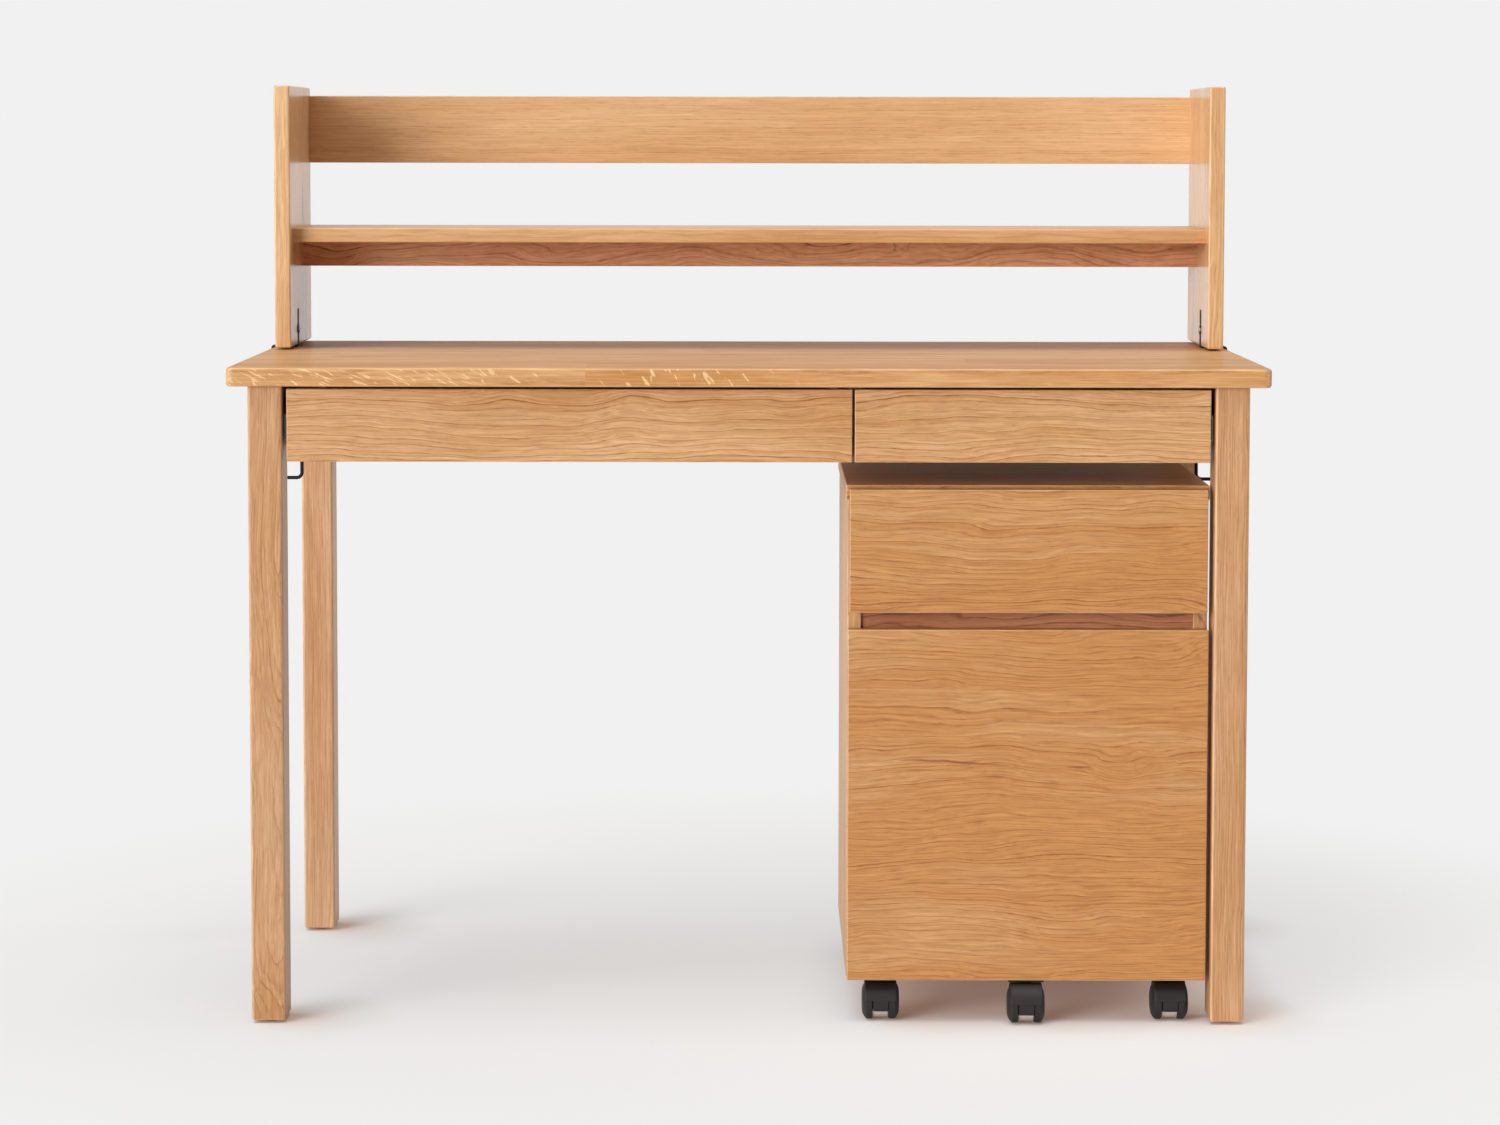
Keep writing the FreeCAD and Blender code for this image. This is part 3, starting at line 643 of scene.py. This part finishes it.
def screw_profile(radius, high):
    """Radius and height of each ring of a screw, from the shank's tip to the top of the head."""
    steps = [(SHANK_RADIUS * SHANK_TIP, -SHANK_LONG), (SHANK_RADIUS, -SHANK_LONG + SHANK_RADIUS),
             (SHANK_RADIUS, 0.0)]
    steps += [(radius * wide, lift * high) for wide, lift in HEAD_SIDE]
    for index in range(1, HEAD_RINGS):
        share = 1 - index / HEAD_RINGS
        steps.append((radius * DOME_WIDE * share, high * (DOME_FOOT + DOME_RISE * (1 - share * share))))
    return steps


def add_screw(bm, seat, way, radius, high):
    """One pan-head screw: a shank, a domed head and the cross sunk into it."""
    turn = way.to_track_quat("Z", "Y")
    rings = []
    for ring_radius, lift in screw_profile(radius, high):
        ring = []
        for index in range(HEAD_SIDES):
            angle = 2 * math.pi * index / HEAD_SIDES
            across, up = ring_radius * math.cos(angle), ring_radius * math.sin(angle)
            sunk = recess(across, up, radius) * CROSS_DEEP * high if lift > CROSS_ABOVE * high else 0.0
            ring.append(bm.verts.new(seat + turn @ Vector((across, up, lift - sunk))))
        rings.append(ring)
    for lower, upper in zip(rings, rings[1:]):
        for index in range(HEAD_SIDES):
            after = (index + 1) % HEAD_SIDES
            bm.faces.new((lower[index], lower[after], upper[after], upper[index]))
    bm.faces.new(rings[0])
    bm.faces.new(rings[-1])


def make_screws(material):
    """Screws with a driver's cross, in the places of the plain ones."""
    bm = bmesh.new()
    for place in screw_places():
        add_screw(bm, *place)
    piece = finish_mesh(bm, "desk_screw_heads", material)
    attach(piece, "desk")
    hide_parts("desk_screws")


def make_caster_clips(material):
    """The bent steel strip under the web of each caster, between its wheels."""
    for caster in CASTERS:
        low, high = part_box(f"caster_{caster}_wheels")
        axle = (low + high) / 2
        radius = (high.z - low.z) / 2 - CLIP_INSET
        bm = bmesh.new()
        rows = []
        for index in range(CLIP_STEPS + 1):
            angle = math.radians(CLIP_FROM + (CLIP_TO - CLIP_FROM) * index / CLIP_STEPS)
            row = []
            for side in (-1, 1):
                row.append(bm.verts.new((axle.x + side * CLIP_WIDE / 2, axle.y - radius * math.cos(angle),
                                         axle.z - radius * math.sin(angle))))
            rows.append(row)
        for upper, lower in zip(rows, rows[1:]):
            bm.faces.new((upper[0], upper[1], lower[1], lower[0]))
        piece = finish_mesh(bm, f"caster_{caster}_clip", material)
        thick = piece.modifiers.new("thick", "SOLIDIFY")
        thick.thickness = CLIP_THICK
        thick.offset = -1.0
        edges = piece.modifiers.new("edges", "BEVEL")
        edges.width = CLIP_THICK / 3
        edges.segments = 2
        edges.limit_method = "ANGLE"
        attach(piece, f"{caster}_caster")


def dress_hardware():
    """Coated steel, zinc and plastics for everything that isn't wood, and the pieces made here."""
    black = plain("black_powder_coat", (24, 20, 19), 0.7, shine=0.3)
    zinc = plain("zinc_plate", (176, 179, 184), 0.36, metal=1.0, grain=1400.0, relief=0.02 * MM)
    clip = plain("clip_steel", (225, 220, 216), 0.42, metal=1.0, grain=1400.0, relief=0.01 * MM)
    hood = plain("caster_hood_plastic", (27, 23, 23), 0.55, relief=0.03 * MM)
    wheel = plain("caster_wheel_plastic", (26, 23, 23), 0.55, relief=0.03 * MM)
    glide = plain("glide_plastic", (120, 96, 74), 0.5)
    dress(black, "hutch_strap_left", "hutch_strap_right", "bag_hooks", "pedestal_caster_plates",
          "file_drawer_caster_bracket")
    dress(zinc, "desk_slide_rails", "pedestal_slide_rails", "top_brackets")
    dress(zinc, *[drawer + "_runners" for drawer in DRAWERS])
    dress(glide, "leg_glides")
    for caster in CASTERS:
        dress(hood, f"caster_{caster}_hood")
        dress(wheel, f"caster_{caster}_wheels")
    make_screws(zinc)
    make_caster_clips(clip)


def make_floor():
    """A wide pale floor whose shading fades, away from the desk, into the even background, with a painted
    contact shade and a painted warm bounce light close under things.
    """
    bpy.ops.mesh.primitive_plane_add(size=2 * FLOOR_HALF, location=(0, 0, 0))
    floor = bpy.context.object
    floor.name = "floor"
    g = Skin("studio_floor")
    dust = g.noise(g.place, scale=DUST_SCALE, detail=3.0)
    colour = g.shaded(FLOOR_COLOUR, g.stretch(dust, *NOISE_RANGE, DUST_DARKEST, 1.0))
    g.set({"Base Color": colour, "Roughness": FLOOR_ROUGHNESS, "Specular IOR Level": FLOOR_SHINE})

    # Painted contact shade: the floor's glow is taken away close under things, more on their right, so its
    # own darker shading shows there
    lean = g.node("ShaderNodeVectorMath", {0: g.normal, 1: CONTACT_LEAN}, "Vector", operation="ADD")
    inputs = {"Distance": CONTACT_REACH, "Normal": lean}
    open_air = g.node("ShaderNodeAmbientOcclusion", inputs, "AO", samples=CONTACT_SAMPLES)
    open_air = g.math("POWER", open_air, CONTACT_FALL)
    near = g.stretch(open_air, 0.0, 1.0, PAINTED_BOUNCE_SHARE, NEAR_GLOW_SHARE)
    away = g.node("ShaderNodeVectorMath", {0: g.place, 1: (*FADE_CENTRE, 0.0)}, "Value", operation="DISTANCE")
    ring = {"Value": away, "From Min": FADE_INNER, "From Max": FADE_OUTER, "To Min": near, "To Max": 1.0}
    fade = g.node("ShaderNodeMapRange", ring, interpolation_type="SMOOTHSTEP")

    # Painted warm bounce light: close under wood the glow turns from the background colour to a warm one
    cool = g.math("MAXIMUM", g.stretch(open_air, 0.0, PAINTED_BOUNCE_END), fade)
    tint = g.mix(cool, linear(PAINTED_BOUNCE_GLOW), linear(BACKGROUND))
    glow = g.node("ShaderNodeEmission", {"Color": tint, "Strength": 1.0})
    both = g.node("ShaderNodeMixShader", {0: g.times(fade, g.shown()), 1: g.shader.outputs[0], 2: glow})
    g.put(g.tree.nodes["Material Output"].inputs["Surface"], both)
    floor.data.materials.append(g.material)


def make_world():
    """Even light from all round, and the pale background that the camera and shiny surfaces see."""
    world = bpy.data.worlds.new("studio")
    bpy.context.scene.world = world
    world.use_nodes = True
    g = Graph(world.node_tree)
    light = g.tree.nodes["Background"]
    g.put(light.inputs["Color"], SKY_COLOUR)
    g.put(light.inputs["Strength"], SKY_LIGHT)
    coords = g.tree.nodes.new("ShaderNodeTexCoord")
    behind = g.split(coords.outputs["Generated"])[Y]
    path = g.tree.nodes.new("ShaderNodeLightPath")
    strength = g.math("MAXIMUM", g.stretch(behind, -SKY_TURN, SKY_TURN, SKY_SHOWN_FRONT, 1.0),
                      path.outputs["Is Camera Ray"])
    background = g.node("ShaderNodeBackground", {"Color": linear(BACKGROUND), "Strength": strength})
    both = g.node("ShaderNodeMixShader", {0: g.shown(), 1: light.outputs[0], 2: background})
    g.put(g.tree.nodes["World Output"].inputs["Surface"], both)


def make_lamp(name, left, height, width, strength):
    """A far, wide lamp, whose light comes from a round patch of the studio."""
    left, height = math.radians(left), math.radians(height)
    way = Vector((math.sin(left) * math.cos(height), math.cos(left) * math.cos(height), -math.sin(height)))
    data = bpy.data.lights.new(name, "SUN")
    data.angle = math.radians(width)
    data.energy = strength
    data.color = LAMP_COLOUR
    lamp = bpy.data.objects.new(name, data)
    bpy.context.scene.collection.objects.link(lamp)
    lamp.rotation_euler = way.to_track_quat("-Z", "Y").to_euler()


def make_camera():
    """The camera that took the photograph."""
    data = bpy.data.cameras.new("camera")
    data.sensor_width = SENSOR_WIDE
    data.sensor_fit = "HORIZONTAL"
    data.lens = CAMERA_FOCAL / FRAME_WIDE * SENSOR_WIDE
    data.shift_y = CAMERA_SHIFT_UP
    camera = bpy.data.objects.new("camera", data)
    bpy.context.scene.collection.objects.link(camera)
    turn = Matrix.Rotation(math.radians(CAMERA_YAW), 4, "Z")
    tilt = Matrix.Rotation(math.radians(90 - CAMERA_PITCH), 4, "X")
    roll = Matrix.Rotation(math.radians(-CAMERA_ROLL), 4, "Z")
    camera.matrix_world = Matrix.Translation(CAMERA_PLACE) @ turn @ tilt @ roll
    bpy.context.scene.camera = camera


dress_wood()
dress_hardware()
make_floor()
make_world()
for lamp_name, lamp_facts in LAMPS.items():
    make_lamp(lamp_name, *lamp_facts)
make_camera()
bpy.context.scene.view_settings.view_transform = "Standard"
